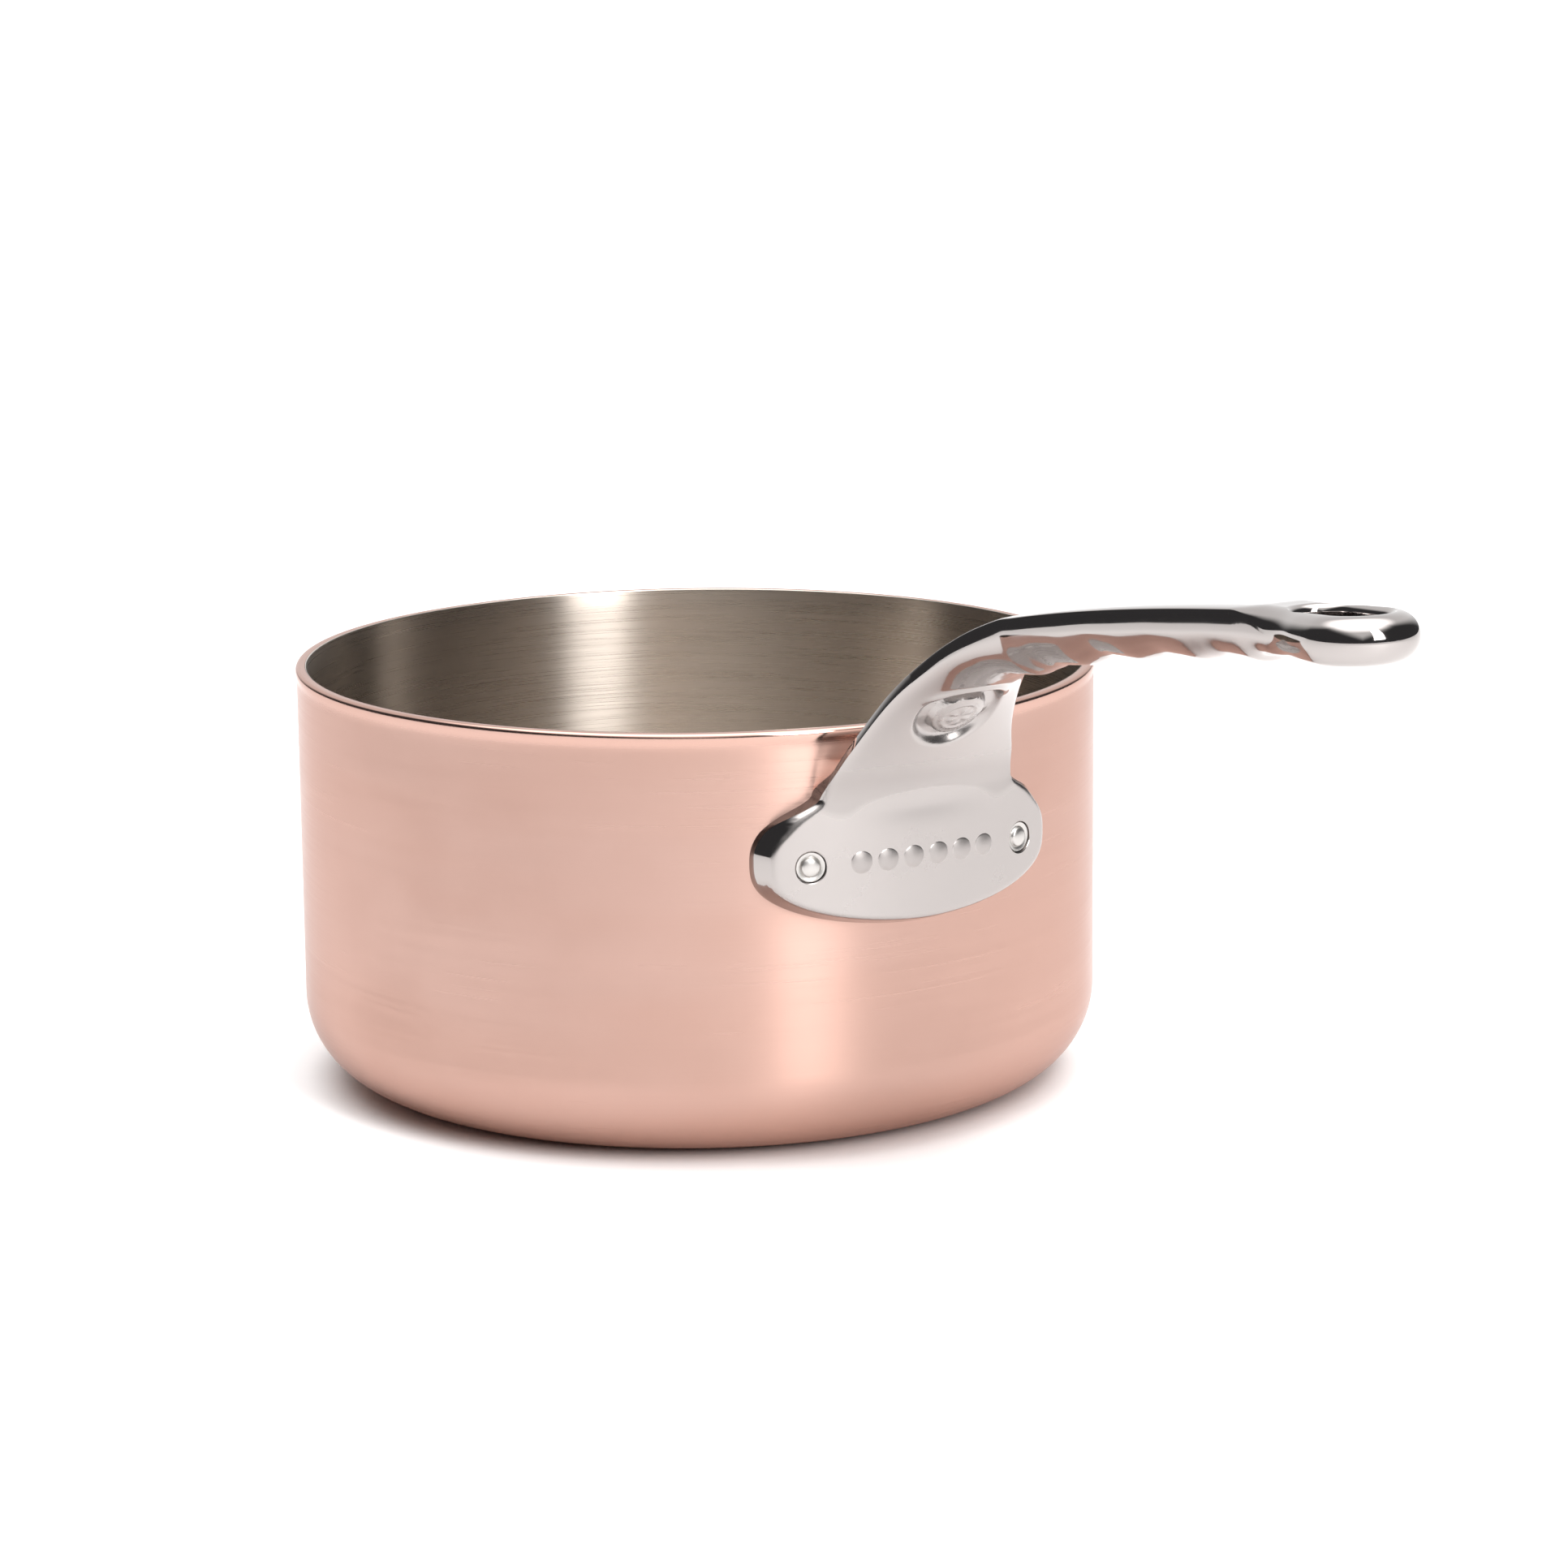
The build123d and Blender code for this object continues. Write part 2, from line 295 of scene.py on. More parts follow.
def group_tree(name, kind, inputs, outputs):
    """Node group with named sockets."""
    made = bpy.data.node_groups.new(name, kind)
    for socket_name, socket_type, default in inputs:
        item = made.interface.new_socket(socket_name, in_out="INPUT", socket_type=socket_type)
        if default is not None:
            item.default_value = default
    for socket_name, socket_type in outputs:
        made.interface.new_socket(socket_name, in_out="OUTPUT", socket_type=socket_type)
    if kind == "GeometryNodeTree":
        made.is_modifier = True
    tree = Tree(made)
    return made, tree, tree.node("NodeGroupInput"), tree.node("NodeGroupOutput")


def run_tree(obj, tree, values):
    """Runs a Geometry Nodes tree on an object and keeps the result as a plain mesh."""
    modifier = obj.modifiers.new(tree.name, "NODES")
    modifier.node_group = tree
    for item in tree.interface.items_tree:
        if item.item_type == "SOCKET" and item.in_out == "INPUT" and item.name in values:
            modifier[item.identifier] = values[item.name]
    return settle(obj)


# ------------------------------------------------------------------ shader groups
@shared_group("Turned Brushing")
def brushing_group(name):
    """Fine turned brushing round the pan's axis: streak value, drift value and normal."""
    made, t, inp, out = group_tree(name, "ShaderNodeTree", [
        ("Line Density", "NodeSocketFloat", 2600.0),
        ("Line Length", "NodeSocketFloat", 9.0),
        ("Depth", "NodeSocketFloat", 0.1),
    ], [("Streaks", "NodeSocketFloat"), ("Drift", "NodeSocketFloat"),
        ("Normal", "NodeSocketVector")])
    x, y, z = t.separate(t.place())
    radius = t.length(x, y)
    across = t.plus(z, radius)
    reach = t.math("DIVIDE", inp.outputs["Line Length"], t.math("MAXIMUM", radius, 4 * MM))
    around_x, around_y = t.times(x, reach), t.times(y, reach)
    lines = t.xyz(around_x, around_y, t.times(across, inp.outputs["Line Density"]))
    fine = t.noise(lines, 1.0, 3.0, 0.6)
    wide = t.noise(t.xyz(around_x, around_y, t.times(across, 900.0)), 0.5)
    streaks = t.plus(t.times(fine, 0.8), t.times(wide, 0.2))
    drift = t.noise(t.xyz(t.times(x, 9.0), t.times(y, 9.0), t.times(across, 40.0)), 1.0)
    bump = t.node("ShaderNodeBump")
    bump.inputs["Distance"].default_value = 0.02 * MM
    t.link(inp.outputs["Depth"], bump.inputs["Strength"])
    t.link(streaks, bump.inputs["Height"])
    t.link(streaks, out.inputs["Streaks"])
    t.link(drift, out.inputs["Drift"])
    t.link(bump.outputs[0], out.inputs["Normal"])
    return made


@shared_group("Handling Marks")
def handling_group(name):
    """Marks of handling: faint smudges and fine random scratches."""
    made, t, inp, out = group_tree(name, "ShaderNodeTree", [
        ("Smudge Size", "NodeSocketFloat", 40.0),
        ("Scratch Scale", "NodeSocketFloat", 300.0),
    ], [("Smudges", "NodeSocketFloat"), ("Scratches", "NodeSocketFloat")])
    place = t.place()
    smudges = t.ramp(t.noise(place, inp.outputs["Smudge Size"]), 0.4, 0.8)
    warp = t.node("ShaderNodeMapping")
    warp.inputs["Scale"].default_value = (1.0, 0.12, 0.6)
    warp.inputs["Rotation"].default_value = (0.3, 0.5, 0.4)
    t.link(place, warp.inputs["Vector"])
    cells = t.node("ShaderNodeTexVoronoi", feature="DISTANCE_TO_EDGE")
    t.link(warp.outputs[0], cells.inputs["Vector"])
    t.link(inp.outputs["Scratch Scale"], cells.inputs["Scale"])
    scratches = t.ramp(cells.outputs["Distance"], 0.0, 0.03, 1.0, 0.0)
    gate = t.ramp(t.noise(place, 90.0), 0.52, 0.66)
    t.link(smudges, out.inputs["Smudges"])
    t.link(t.times(scratches, gate), out.inputs["Scratches"])
    return made


def start_material(name):
    """Empty material with one Principled shader, metal by default."""
    material = bpy.data.materials.new(name)
    material.use_nodes = True
    t = Tree(material.node_tree)
    shader = material.node_tree.nodes["Principled BSDF"]
    shader.inputs["Metallic"].default_value = 1.0
    return material, t, shader


def use_group(t, group, **values):
    """Places a node group with its own values."""
    made = t.node("ShaderNodeGroup")
    made.node_tree = group
    for key, value in values.items():
        t.put(made.inputs[key.replace("_", " ")], value)
    return made


def rgba(colour, gain=1.0):
    """Colour with every channel brought up or down alike."""
    return (colour[0] * gain, colour[1] * gain, colour[2] * gain, 1.0)


def tinted(colour, gains):
    """Colour with a gain of its own for red, green and blue, and no channel over 1."""
    return tuple(min(1.0, part * gain) for part, gain in zip(colour, gains)) + (1.0,)


def lay_brushing(t, shader, brush, stretch):
    """Brushed surface whose highlights stretch across lines laid round the Z axis."""
    t.link(brush.outputs["Normal"], shader.inputs["Normal"])
    shader.inputs["Anisotropic"].default_value = stretch
    shader.inputs["Anisotropic Rotation"].default_value = 0.25
    turn = t.node("ShaderNodeTangent", direction_type="RADIAL", axis="Z")
    t.link(turn.outputs[0], shader.inputs["Tangent"])


def copper_material(colour):
    """Polished copper with fine turned lines, a painted warm reflection and shade near the base, and
    glossier at the rim.
    """
    material, t, shader = start_material("brushed_copper")
    brush = use_group(t, brushing_group(), Line_Density=4200.0, Line_Length=1.6, Depth=0.012)
    marks = use_group(t, handling_group(), Smudge_Size=34.0, Scratch_Scale=260.0)
    streaks, drift = brush.outputs["Streaks"], brush.outputs["Drift"]
    smudges = marks.outputs["Smudges"]
    height = t.separate(t.place())[2]
    # painted reflection and shade: over its lowest 16 mm the copper is blended toward a darker, more
    # orange tint
    low = t.ramp(height, 0.0, 16 * MM, 1.0, 0.0)
    rim = t.ramp(height, PAN_HIGH.z - 3 * MM, PAN_HIGH.z - 1.6 * MM)
    # darker orange tint: painted reflection near the base, and also the colour of the real smudges
    reflection_and_smudge_tint = tinted(colour, (0.95, 0.74, 0.62))
    pale = tinted(colour, (1.04, 1.10, 1.14))
    base = t.blend(t.ramp(drift, 0.35, 0.65, 0.0, 0.5), rgba(colour), pale)
    base = t.blend(t.times(low, 0.45), base, reflection_and_smudge_tint)
    base = t.blend(t.ramp(streaks, 0.35, 0.65, 0.05, 0.0), base, rgba(colour, 0.7))
    base = t.blend(t.times(smudges, 0.08), base, reflection_and_smudge_tint)
    t.link(base, shader.inputs["Base Color"])
    rough = t.plus(t.ramp(streaks, 0.3, 0.7, 0.27, 0.33), t.times(smudges, 0.04))
    t.link(t.minus(rough, t.times(rim, 0.16)), shader.inputs["Roughness"])
    shader.inputs["Specular Tint"].default_value = (0.80, 0.73, 0.71, 1)
    lay_brushing(t, shader, brush, 0.85)
    return material


def lining_material(colour):
    """Brushed steel of the lining."""
    material, t, shader = start_material("brushed_lining_steel")
    brush = use_group(t, brushing_group(), Line_Density=5200.0, Line_Length=2.5, Depth=0.03)
    marks = use_group(t, handling_group(), Smudge_Size=26.0, Scratch_Scale=240.0)
    streaks = brush.outputs["Streaks"]
    dark = rgba(colour, 0.72)
    base = t.blend(t.ramp(streaks, 0.32, 0.68, 0.16, 0.0), rgba(colour), dark)
    base = t.blend(t.times(marks.outputs["Smudges"], 0.10), base, dark)
    t.link(base, shader.inputs["Base Color"])
    t.link(t.ramp(streaks, 0.3, 0.7, 0.26, 0.32), shader.inputs["Roughness"])
    lay_brushing(t, shader, brush, 0.92)
    return material


def polished_material(name, colour, roughness):
    """Polished steel: material, tree, shader and roughness value, for more to be added."""
    material, t, shader = start_material(name)
    marks = use_group(t, handling_group(), Smudge_Size=60.0, Scratch_Scale=900.0)
    place = t.place()
    grain = t.noise(place, 900.0)
    swell = t.noise(place, 55.0)
    base = t.blend(t.ramp(swell, 0.35, 0.7, 0.0, 0.12), rgba(colour), rgba(colour, 0.9))
    t.link(base, shader.inputs["Base Color"])
    rough = t.plus(roughness, t.times(marks.outputs["Smudges"], 0.03))
    rough = t.plus(rough, t.times(grain, 0.02))
    t.link(rough, shader.inputs["Roughness"])
    bump = t.node("ShaderNodeBump")
    bump.inputs["Distance"].default_value = 0.12 * MM
    bump.inputs["Strength"].default_value = 0.10
    t.link(swell, bump.inputs["Height"])
    t.link(bump.outputs[0], shader.inputs["Normal"])
    return material, t, shader, rough


def cast_material(colour, face_radius):
    """Polished casting with a satin plate face, medallion and beads."""
    material, t, shader, rough = polished_material("polished_cast_steel", colour, 0.05)
    place = t.place()
    x, y, z = t.separate(place)
    radius = t.length(x, y)
    level = t.ramp(z, (RIM - 10.8) * MM, (RIM - 2.8) * MM, 1.0, 0.0)
    face = t.times(t.ramp(radius, face_radius - 0.8 * MM, face_radius - 0.1 * MM), level)
    beads = t.times(t.ramp(radius, face_radius + 0.02 * MM, face_radius + 0.12 * MM), face)
    apart = t.node("ShaderNodeVectorMath", operation="DISTANCE")
    t.link(place, apart.inputs[0])
    apart.inputs[1].default_value = tuple(MEDALLION * MM)
    badge = t.ramp(apart.outputs["Value"], 8.5 * MM, 11 * MM, 1.0, 0.0)
    # only on the outer side of the neck
    across = t.node("ShaderNodeVectorMath", operation="DOT_PRODUCT")
    t.link(place, across.inputs[0])
    across.inputs[1].default_value = tuple(MEDALLION_OUT)
    skin = float(MEDALLION @ MEDALLION_OUT)
    outer = t.ramp(across.outputs["Value"], (skin - 3.2) * MM, (skin - 2.4) * MM)
    satin = t.plus(t.math("MAXIMUM", face, t.times(badge, outer)), beads)
    t.link(t.plus(rough, t.times(satin, 0.2)), shader.inputs["Roughness"])
    return material


def base_material():
    """Matt sprayed steel with coarse turned lines."""
    material, t, shader = start_material("magnetic_layer_steel")
    brush = use_group(t, brushing_group(), Line_Density=1500.0, Line_Length=4.0, Depth=0.4)
    marks = use_group(t, handling_group(), Smudge_Size=50.0, Scratch_Scale=350.0)
    base = t.blend(brush.outputs["Streaks"], (0.16, 0.15, 0.145, 1), (0.36, 0.34, 0.33, 1))
    base = t.blend(t.times(marks.outputs["Scratches"], 0.4), base, (0.5, 0.48, 0.47, 1))
    t.link(base, shader.inputs["Base Color"])
    t.link(t.ramp(brush.outputs["Streaks"], 0.3, 0.7, 0.38, 0.55), shader.inputs["Roughness"])
    t.link(brush.outputs["Normal"], shader.inputs["Normal"])
    return material


# ------------------------------------------------------------------ turned pieces
PATH_RADIUS = 50 * MM
WELD = 0.002 * MM


def end_tree(t, inp, out, geometry):
    """Ends a Geometry Nodes tree in plain faces of one material."""
    real = t.through("GeometryNodeRealizeInstances", geometry)
    painted = t.through("GeometryNodeSetMaterial", real, Material=inp.outputs["Material"])
    t.link(painted, out.inputs["Geometry"])


@shared_group("Turned Shell")
def turning_tree(name):
    """Geometry Nodes: turns a closed profile, drawn in XZ, round the Z axis."""
    made, t, inp, out = group_tree(name, "GeometryNodeTree", [
        ("Profile", "NodeSocketGeometry", None),
        ("Segments", "NodeSocketInt", 256),
        ("Path Radius", "NodeSocketFloat", PATH_RADIUS),
        ("Material", "NodeSocketMaterial", None),
    ], [("Geometry", "NodeSocketGeometry")])
    curve = t.node("GeometryNodeMeshToCurve")
    t.link(inp.outputs["Profile"], curve.inputs["Mesh"])
    path = t.node("GeometryNodeCurvePrimitiveCircle")
    t.link(inp.outputs["Segments"], path.inputs["Resolution"])
    t.link(inp.outputs["Path Radius"], path.inputs["Radius"])
    sweep = t.node("GeometryNodeCurveToMesh")
    t.link(path.outputs["Curve"], sweep.inputs["Curve"])
    t.link(curve.outputs["Curve"], sweep.inputs["Profile Curve"])
    welded = t.through("GeometryNodeMergeByDistance", sweep.outputs[0], Distance=WELD)
    end_tree(t, inp, out, t.through("GeometryNodeSetShadeSmooth", welded))
    return made


def turn_profile(name, profile, material, segments=256):
    """Closed profile of (radius, height) points in metres, turned by the tree above."""
    points = [(r - PATH_RADIUS, -z, 0.0) for r, z in profile]
    count = len(points)
    obj = new_object(name, points, [], edges=[(i, (i + 1) % count) for i in range(count)])
    run_tree(obj, turning_tree(), {"Segments": segments, "Path Radius": PATH_RADIUS,
                                   "Material": material})
    make_outward(obj)
    return obj


def make_outward(obj):
    """Welds the mesh, turns its faces outward and marks its sharp edges."""
    work = bmesh.new()
    work.from_mesh(obj.data)
    bmesh.ops.remove_doubles(work, verts=work.verts, dist=WELD)
    bmesh.ops.dissolve_degenerate(work, edges=work.edges, dist=WELD / 4)
    bmesh.ops.recalc_face_normals(work, faces=work.faces)
    work.to_mesh(obj.data)
    work.free()
    obj.data.set_sharp_from_angle(angle=math.radians(38))


class SAUCEPAN_OT_body(bpy.types.Operator):
    """Copper shell: flat base, rounded corner, upright wall and rolled rim"""
    bl_idname = "saucepan.body"
    bl_label = "Copper Body"

    def execute(self, context):
        s = context.scene.saucepan_pan
        copper = copper_material(s.copper)
        obj = turn_profile("copper_shell", self.profile(s), copper, s.segments)
        dress(obj, copper, "copper", "copper_body")
        return {"FINISHED"}

    def profile(self, s):
        """Round the copper from the middle of its underside: base, wall, rim and inside."""
        low, top = PAN_LOW.z, s.height
        outer = PAN_HIGH.x - s.flare
        inner = outer - s.wall
        flat = outer - s.corner
        inside = s.corner - s.wall
        floor = low + s.wall
        crest = 0.9 * MM  # radius of the rim's outer rounding
        swell = 3.4 * MM  # height over which the wall swells into the rim
        points = [(flat * share, low) for share in (0, 0.35, 0.7, 0.9)]
        points += arc((flat, low + s.corner), s.corner, -90, 0, 25)
        points += [(outer, z) for z in np.linspace(low + s.corner + 4 * MM, top - 5 * MM, 14)]
        for t in np.linspace(0, 1, 7):
            z = top - swell + t * (swell - crest)
            points.append((outer + s.flare * (3 * t * t - 2 * t ** 3), z))
        points += arc((outer + s.flare - crest, top - crest), crest, 12, 90, 8)
        points += [(inner + 0.25 * MM, top), (inner + 0.08 * MM, top - 0.03 * MM)]
        points.append((inner, top - 0.15 * MM))
        points += [(inner, z) for z in np.linspace(top - 5 * MM, floor + inside + 4 * MM, 8)]
        points += arc((flat, floor + inside), inside, 0, -90, 17)
        return points + [(flat * 0.6, floor), (0, floor)]


class SAUCEPAN_OT_lining(bpy.types.Operator):
    """Thin steel lining bonded over the whole inside of the copper"""
    bl_idname = "saucepan.lining"
    bl_label = "Steel Lining"

    def execute(self, context):
        s = context.scene.saucepan_pan
        steel = lining_material(s.steel)
        obj = turn_profile("steel_lining_skin", self.profile(s), steel, s.segments)
        dress(obj, steel, "lining", "steel_lining")
        return {"FINISHED"}

    def profile(self, s):
        """Round the lining from the middle of its underside, up the copper and back inside."""
        under, top = LINING_LOW.z, s.height
        outer = PAN_HIGH.x - s.flare - s.wall
        inner = outer - s.lining
        floor = under + s.lining
        flat = PAN_HIGH.x - s.flare - s.corner
        big = s.corner - s.wall
        small = big - s.lining
        points = [(0, under), (flat * 0.6, under)]
        points += arc((flat, under + big), big, -90, 0, 20)
        points += [(outer, z) for z in np.linspace(under + big + 4 * MM, top, 10)]
        points += [(outer - 0.07 * MM, top - 0.02 * MM), (inner + 0.02 * MM, top - 0.16 * MM)]
        points += [(inner, z) for z in np.linspace(top - 0.3 * MM, floor + small + 4 * MM, 12)]
        points += arc((flat, floor + small), small, 0, -90, 24)
        return points + [(flat * share, floor) for share in (0.9, 0.7, 0.5, 0.3, 0.12, 0)]


class SAUCEPAN_OT_base(bpy.types.Operator):
    """Magnetic steel layer under the base, with faint pressed rings"""
    bl_idname = "saucepan.base"
    bl_label = "Magnetic Base"

    def execute(self, context):
        steel = base_material()
        obj = turn_profile("base_layer", self.profile(), steel, 192)
        dress(obj, steel, "base_layer", "magnetic_base")
        return {"FINISHED"}

    def profile(self):
        """Round the layer from the middle of its underside, past six grooves."""
        radius, top = DISC_HIGH.x, DISC_HIGH.z
        mouth, bed, depth = 0.5 * MM, 0.2 * MM, 0.12 * MM  # of a ring's groove
        points = [(0, 0)]
        for ring in range(1, 7):
            r = radius * (0.12 + 0.13 * ring)
            points += [(r - mouth, 0), (r - bed, depth), (r + bed, depth), (r + mouth, 0)]
        points += [(radius - 0.3 * MM, 0), (radius - 0.08 * MM, 0.1 * MM), (radius, 0.3 * MM)]
        return points + [(radius, top), (radius * 0.5, top), (0, top)]


# ------------------------------------------------------------------ handle
# in millimetres: heights from the worktop, or out from the wall and up from the rim where it says so
WALL_RADIUS = PAN_HIGH.x / MM - 0.3
RIM = PAN_HIGH.z / MM
FLANGE_SIDE = RIM - 25.3
FLANGE_BOTTOM = FLANGE_SIDE - 14.1
FLANGE_TOP = FLANGE_SIDE + 15.0
ORNAMENT_LEVEL = RIM - 25.6
# squareness of the plate's outline: power of the height, root of the width
LOWER_SHAPE = (2.9, 1.75)
UPPER_SHAPE = (2.35, 1.9)
# out, up, half width, thickness above and below the centre line
NECK = [
    (1.0, -39.4, 20.0, 0.8, 3.0),
    (1.0, -22.8, 20.0, 0.8, 3.0),
    (1.5, -15.8, 22.2, 1.2, 2.8),
    (3.6, -8.3, 20.4, 1.6, 2.9),
    (8.4, 0.1, 17.2, 1.6, 3.5),
    (15.4, 8.8, 14.4, 1.6, 4.3),
    (23.5, 15.6, 11.9, 1.8, 5.3),
    (32.5, 20.5, 10.4, 2.3, 6.5),
]
GRIP_START = (WALL_RADIUS + 42.0, RIM + 24.1)
GRIP_END = (WALL_RADIUS + 115.0, RIM + 35.6)
GRIP_ARCH = 0.6
GRIP_DEPTH = 6.0
BUMPS = 4
BUMP_DEPTH = 0.42
HEAD_CENTRE = (WALL_RADIUS + 137.0, RIM + 36.95)
HEAD_TILT = math.radians(4)
HEAD_HALF = 10.7
HEAD_TIP = HANDLE_HIGH.x / MM - HEAD_CENTRE[0] - 0.1
HEAD_THICK = 8.6
# distance back from the head's centre, half width
WAIST = [(17.5, 7.8), (12.0, 8.0), (5.6, 9.7)]
EYE_RADIUS = 5.4
EYE_RUN = 8.9
EYE_BACK = 4.05
EYE_LIP = 1.5
MEDALLION = np.array([WALL_RADIUS + 16.2, 0, RIM + 3.8])
MEDALLION_SLOPE = math.radians(48)
MEDALLION_OUT = np.array([math.sin(MEDALLION_SLOPE), 0, -math.cos(MEDALLION_SLOPE)])
MEDALLION_UP = np.array([math.cos(MEDALLION_SLOPE), 0, math.sin(MEDALLION_SLOPE)])
MEDALLION_RADIUS = 5.4
# distances along the centre line from the plate's lower edge
PLATE_END = 40.0
PLATE_ROUNDING_END = 52.0
HEAD_ROUNDING_START = 130.0


def grip_row(t):
    """One station of the grip: x, level, half width, above, below."""
    x = GRIP_START[0] + (GRIP_END[0] - GRIP_START[0]) * t
    z = GRIP_START[1] + (GRIP_END[1] - GRIP_START[1]) * t + GRIP_ARCH * 4 * t * (1 - t)
    half_width = 9.0 - 0.3 * t - 0.5 * t ** 6
    above = 3.9 - 1.2 * (1 - t) ** 3
    bumps = BUMP_DEPTH * math.cos(2 * BUMPS * math.pi * t)
    heel = 2.2 * max(0.0, 1 - 8 * t / 3)
    return (x, z, half_width, above, GRIP_DEPTH + bumps + heel)


def head_row(back, half_width):
    """One station of the looped head, so far back from its centre."""
    level = HEAD_CENTRE[1] - back * math.tan(HEAD_TILT)
    return (HEAD_CENTRE[0] - back, level, half_width, HEAD_THICK / 2, HEAD_THICK / 2)


def handle_stations():
    """Station table from the plate's lower edge to the tip."""
    table = [(WALL_RADIUS + out, RIM + up, *rest) for out, up, *rest in NECK]
    table += [grip_row(i / 16) for i in range(17)]
    table += [head_row(back, half_width) for back, half_width in WAIST]
    return table + [head_row(back, HEAD_HALF) for back in (0.0, -5.0, -HEAD_TIP)]


def smooth_table(rows, where):
    """Samples the station table along its length with a smooth curve."""
    rows = np.array(rows, float)
    gaps = np.hypot(np.diff(rows[:, 0]), np.diff(rows[:, 1]))
    along = np.concatenate([[0], np.cumsum(gaps)])
    slopes = np.zeros_like(rows)
    slopes[1:-1] = (rows[2:] - rows[:-2]) / (along[2:] - along[:-2])[:, None]
    slopes[0] = (rows[1] - rows[0]) / gaps[0]
    slopes[-1] = (rows[-1] - rows[-2]) / gaps[-1]
    i = np.clip(np.searchsorted(along, where, side="right") - 1, 0, len(rows) - 2)
    h = (along[i + 1] - along[i])[:, None]
    t = ((where - along[i]) / (along[i + 1] - along[i]))[:, None]
    a = rows[i] * (1 + 2 * t) * (1 - t) ** 2 + rows[i + 1] * t * t * (3 - 2 * t)
    b = h * (slopes[i] * t * (1 - t) ** 2 - slopes[i + 1] * t * t * (1 - t))
    return a + b


def table_length(rows):
    """Length of the line through the stations."""
    rows = np.array(rows, float)
    return float(np.hypot(np.diff(rows[:, 0]), np.diff(rows[:, 1])).sum())


def row_places(length):
    """Rows along the centre line: closer at the plate's edge and shoulders, the medallion, the tip."""
    first = FLANGE_SIDE - FLANGE_BOTTOM
    return np.concatenate([
        first * (1 - np.cos(np.linspace(0.03, math.pi / 2, 46))),
        np.linspace(first, 30.0, 80)[1:],
        np.linspace(30.0, 66.0, 120)[1:],
        np.linspace(66.0, length - HEAD_TIP, 110)[1:],
        length - HEAD_TIP * (1 - np.sin(np.linspace(0, math.pi / 2 * 0.99, 44)[1:])),
    ])


def flange_half_width(z, half):
    """Half width of the bean-shaped plate at a height."""
    down = np.clip((FLANGE_SIDE - z) / (FLANGE_SIDE - FLANGE_BOTTOM), 0, 1)
    lower = half * (1 - down ** LOWER_SHAPE[0]) ** (1 / LOWER_SHAPE[1])
    up = np.clip((z - FLANGE_SIDE) / (FLANGE_TOP - FLANGE_SIDE), 0, 1)
    upper = half * (1 - up ** UPPER_SHAPE[0]) ** (1 / UPPER_SHAPE[1])
    return np.where(z < FLANGE_SIDE, lower, upper)


def soft_max(a, b, width):
    """Larger of two values, with the corner between them rounded off."""
    blend = np.clip(0.5 + 0.5 * (a - b) / width, 0, 1)
    return b + (a - b) * blend + width * blend * (1 - blend)


def outline_distance(points, outline):
    """Shortest distance from each point to a polyline."""
    best = np.full(len(points), 1e9)
    for a, b in zip(outline[:-1], outline[1:]):
        span = b - a
        length = float(span @ span)
        if length < 1e-12:
            continue
        t = np.clip(((points - a) @ span) / length, 0, 1)
        gap = points - (a + t[:, None] * span)
        best = np.minimum(best, np.einsum("ij,ij->i", gap, gap))
    return np.sqrt(best)


def quarter_round(t):
    """Rises from 0 to 1 as a quarter of a circle does."""
    return np.sqrt(np.clip(1 - (1 - np.clip(t, 0, 1)) ** 2, 0, 1))


def col(values):
    """One value for each row, shaped to meet a grid."""
    return values[:, None]


